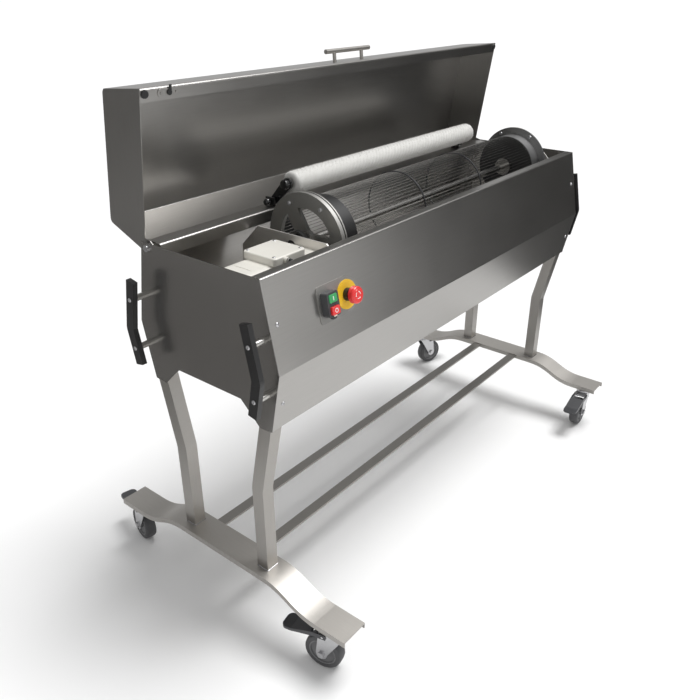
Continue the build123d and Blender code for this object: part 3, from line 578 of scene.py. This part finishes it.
class TRIMMER_OT_knobs(bpy.types.Operator):
    """Turn the round knobs that clamp the brush's brackets"""
    bl_idname = "trimmer.knobs"
    bl_label = "Bracket knobs"

    def execute(self, context):
        pivot = np.array(JOINTS["brush_swing"]["pos_m"])
        low, high = lowest("brush_brackets"), highest("brush_brackets")
        # a ball with a short neck: radius(v) = r sqrt(1 - v^2) at a distance r(1 + v) past the neck
        radius, neck, neck_length = 0.0105, 0.0045, 0.003
        ball = [(0.0, 0.0), (neck, 0.0), (neck, neck_length)] + [
            (radius * np.sqrt(max(0.0, 1 - v * v)), neck_length + radius * (1 + v)) for v in np.linspace(-0.88, 1, 15)]
        parts = [lathe(ball, (low[0], pivot[1], pivot[2]), (-1, 0, 0), 32),
                 lathe(ball, (high[0], pivot[1], pivot[2]), (1, 0, 0), 32)]
        welded(new_piece("bracket_knobs", *joined(parts), "knob_plastic", "machine", "black_plastic"))
        return {"FINISHED"}


class TRIMMER_OT_controls(bpy.types.Operator):
    """Make the pilot lamp, the button marks and the rim of the emergency stop"""
    bl_idname = "trimmer.controls"
    bl_label = "Control details"

    def execute(self, context):
        out = -np.array(JOINTS["estop_press"]["axis"], float)
        up = np.array([0.0, -out[2], out[1]])
        up = up if up[2] > 0 else -up
        along = np.array([1.0, 0.0, 0.0])

        def slab(centre, wide, tall, deep, bulge=0.0):
            """Rounded pad: a superellipse |a|^4 + |b|^4 = 1 carried out to its depth and crowned."""
            around = 32
            ring = rounded_loop(round_turn(around), wide, tall)
            rows = ((0, 0), (1, 0), (1, deep * 0.7), (0.92, deep), (0.5, deep + bulge), (0, deep + bulge))
            points = [np.asarray(centre) + ring[:, :1] * scale * along + ring[:, 1:] * scale * up + out * depth
                      for scale, depth in rows]
            return np.concatenate(points), ring_quads(len(rows), around)

        start, stop = face_centre("start_button", out), face_centre("stop_button", out)
        welded(new_piece("start_mark", *slab(start - out * 0.0003, 0.0022, 0.0100, 0.0007), "mark_white", "start",
                         "green_plastic"))
        ring = [(0.0036, 0.0), (0.0036, 0.0004), (0.0052, 0.0004), (0.0052, 0.0)]
        welded(new_piece("stop_mark", *lathe(ring, stop - out * 0.0001, out, 32, closed=True), "mark_white", "stop",
                         "red_plastic"))
        lamp = face_centre("switch_body", out)
        lamp[0] = middle("switch_body")[0]
        lamp = lamp - up * 0.0255 - out * 0.0006
        welded(new_piece("pilot_lamp", *slab(lamp, 0.011, 0.0048, 0.0014, 0.0006), "lamp_lens", "machine",
                         "grey_plastic"))
        # raised rim and three turn arrows on the mushroom's face
        cap = face_centre("estop_mushroom", out)
        rim = [(0.0112, -0.0004), (0.0112, 0.0005), (0.0128, 0.0007), (0.0136, 0.0), (0.0136, -0.0006)]
        welded(new_piece("estop_rim", *lathe(rim, cap, out, 48, closed=True), "stop_red", "estop", "red_plastic"))
        sweep = np.linspace(0, 1, 14)
        arrows = []
        radius, shaft, barb, head_start = 0.0078, 0.0007, 0.0021, 0.72
        raised, thick, arc_angle, n = 0.0003, 0.0008, 1.35, len(sweep)
        i = np.arange(n - 1)
        sides = [np.stack([a * n + i, b * n + i, b * n + i + 1, a * n + i + 1], -1)
                 for a, b in ((0, 1), (1, 2), (2, 3), (3, 0))]
        ends = [[[0, 3 * n, 2 * n, n]], [[n - 1, 2 * n - 1, 3 * n - 1, 4 * n - 1]]]
        for k in range(3):
            turn = 2 * pi * k / 3 + sweep * arc_angle
            width = np.where(sweep < head_start, shaft, barb * (1 - sweep) / (1 - head_start))
            arc = np.cos(turn)[:, None] * along + np.sin(turn)[:, None] * up
            inner = cap + arc * (radius - width)[:, None] + out * raised
            outer = cap + arc * (radius + width)[:, None] + out * raised
            points = np.concatenate([inner, outer, outer - out * thick, inner - out * thick])
            arrows.append((points, np.concatenate(sides + ends)))
        welded(new_piece("estop_arrows", *joined(arrows), "mark_white", "estop", "red_plastic"))
        return {"FINISHED"}


def face_centre(node, out):
    """Middle of the face of a node that stands furthest along a direction."""
    points = node_points(node)
    reach = points @ out
    front = points[reach > reach.max() - 1e-4]
    return (front.min(0) + front.max(0)) / 2


class TRIMMER_OT_motor(bpy.types.Operator):
    """Make the motor's joint rings and cable gland"""
    bl_idname = "trimmer.motor"
    bl_label = "Motor details"

    def execute(self, context):
        low, centre = lowest("gearmotor"), middle("gearmotor")
        around, raised, sunk, width = 96, 0.02, 0.94, 0.0035
        ring = rounded_loop(round_turn(around), 0.112, 0.108)

        def band(x):
            """Rounded-square ring round the motor, whose inner edges are sunk in it."""
            rows = ((sunk, 0), (1 + raised, 0.1 * width), (1 + raised, 0.9 * width), (sunk, width))
            points = [np.column_stack([np.full(around, x + along), centre[1] + ring[:, 0] * scale,
                                       centre[2] + ring[:, 1] * scale]) for scale, along in rows]
            return np.concatenate(points), ring_quads(len(rows), around, closed=True)

        rings = [band(low[0] + x) for x in (0.0175, 0.0735, 0.1325, 0.1775)]
        welded(new_piece("motor_flange_rings", *joined(rings), "motor_paint", "machine", "cream_paint"))
        # cable gland: a stepped cap on the terminal box's front side
        box = middle("terminal_box")
        gland = [(0.0, 0.012), (0.0040, 0.012), (0.0052, 0.010), (0.0058, 0.004), (0.0072, 0.003), (0.0072, 0.0005),
                 (0.0, 0.0005)]
        at = (box[0] - 0.018, lowest("terminal_box")[1] + 0.010, box[2])
        welded(new_piece("gland_seal", *lathe(gland, at, (0, -1, 0), 24), "black_plastic", "machine",
                         "black_plastic"))
        return {"FINISHED"}


class TRIMMER_OT_stage(bpy.types.Operator):
    """Set up the floor, the lights, the reflection cards and the camera"""
    bl_idname = "trimmer.stage"
    bl_label = "Stage"

    def execute(self, context):
        scene, settings = context.scene, context.scene.trimmer_stage
        ground = Finish("floor_paper", Roughness=0.75, Base_Color=tuple(settings.floor_colour))
        faint = ground.noise(3.0, 2.0)
        pale = tuple(settings.floor_colour)
        ground.set(Base_Color=ground.blend(faint, tuple(c * 0.985 for c in pale), pale))
        black = Finish("card_black", Roughness=1.0, Base_Color=(0.02, 0.02, 0.02))
        grey = Finish("card_grey", Roughness=1.0, Base_Color=(0.16, 0.155, 0.15))
        white = Finish("card_white", Roughness=1.0, Base_Color=(0.0, 0.0, 0.0), Emission_Color=(1.0, 1.0, 1.0),
                       Emission_Strength=9.0)

        def sheet(name, corners, finish):
            mesh = bpy.data.meshes.new(name)
            mesh.from_pydata([Vector(c) for c in corners], [], [(0, 1, 2, 3)])
            mesh.materials.append(finish.material)
            made = bpy.data.objects.new(name, mesh)
            scene.collection.objects.link(made)
            return made

        sheet("floor", [(-90, -90, 0), (90, -90, 0), (90, 90, 0), (-90, 90, 0)], ground)
        # only reflections see the cards: grey to the left and behind, black to the right, a bright one overhead
        cards = [
            sheet("bright_card", [(0.1, -3.3, 3.4), (1.7, -3.3, 3.4), (1.7, -0.9, 3.4), (0.1, -0.9, 3.4)], white),
            sheet("grey_mat", [(-3.6, 0.35, 0.01), (-1.15, 0.35, 0.01), (-1.15, 3.2, 0.01), (-3.6, 3.2, 0.01)], grey),
            sheet("dark_card", [(4.0, -4.1, 0.0), (4.0, 1.4, 0.0), (4.0, 1.4, 3.4), (4.0, -4.1, 3.4)], black),
            sheet("dark_mat", [(1.45, -4.1, 0.01), (4.0, -4.1, 0.01), (4.0, 0.6, 0.01), (1.45, 0.6, 0.01)], black),
            sheet("grey_card", [(-5.5, 3.4, 0.0), (-1.3, 3.4, 0.0), (-1.3, 3.4, 2.0), (-5.5, 3.4, 2.0)], grey),
        ]
        for piece in cards:
            piece.visible_camera = piece.visible_diffuse = piece.visible_shadow = False
            piece.visible_transmission = piece.visible_volume_scatter = False

        world = bpy.data.worlds.new("studio")
        scene.world = world
        world.use_nodes = True
        background = world.node_tree.nodes["Background"]
        background.inputs["Color"].default_value = (1.0, 1.0, 1.0, 1.0)
        background.inputs["Strength"].default_value = settings.sky

        light = bpy.data.lights.new("broad_light", "SUN")
        light.energy, light.angle = settings.sun, radians(28)
        lamp = bpy.data.objects.new("broad_light", light)
        lamp.rotation_euler = Vector((1.0, -0.55, 2.9)).to_track_quat("Z", "Y").to_euler()
        scene.collection.objects.link(lamp)

        camera = bpy.data.cameras.new("camera")
        camera.sensor_width, camera.lens = 36.0, settings.lens
        camera.clip_start, camera.clip_end = 0.05, 60.0
        viewer = bpy.data.objects.new("camera", camera)
        viewer.location = Vector(settings.camera_place) + Vector(TROUGH)
        viewer.rotation_euler = settings.camera_turn
        scene.collection.objects.link(viewer)
        scene.camera = viewer
        scene.view_settings.view_transform = "Standard"
        return {"FINISHED"}


class TRIMMER_PT_panel(bpy.types.Panel):
    """Sizes, colours and steps of the trimming machine"""
    bl_idname = "TRIMMER_PT_panel"
    bl_label = "Trimming machine"
    bl_space_type, bl_region_type, bl_category = "VIEW_3D", "UI", "Trimmer"

    def draw(self, context):
        for group in GROUPS:
            box = self.layout.box()
            for prop in GROUPS[group].__annotations__:
                box.prop(getattr(context.scene, group), prop)
        for step in STEPS:
            self.layout.operator(step.bl_idname)


FINISHES = {}
GROUPS = {"trimmer_steel": SteelSettings, "trimmer_paint": PaintSettings, "trimmer_brush": BrushSettings,
          "trimmer_stage": StageSettings}
STEPS = (TRIMMER_OT_finishes, TRIMMER_OT_stage, TRIMMER_OT_brush, TRIMMER_OT_casters, TRIMMER_OT_screws,
         TRIMMER_OT_welds, TRIMMER_OT_knobs, TRIMMER_OT_controls, TRIMMER_OT_motor)


def register():
    for cls in (*GROUPS.values(), *STEPS, TRIMMER_PT_panel):
        bpy.utils.register_class(cls)
    for name, group in GROUPS.items():
        setattr(bpy.types.Scene, name, bpy.props.PointerProperty(type=group))


def unregister():
    for name in GROUPS:
        delattr(bpy.types.Scene, name)
    for cls in reversed((*GROUPS.values(), *STEPS, TRIMMER_PT_panel)):
        bpy.utils.unregister_class(cls)


def main():
    register()
    for step in STEPS:
        getattr(bpy.ops.trimmer, step.bl_idname.split(".")[1])()


if __name__ == "__main__":
    main()
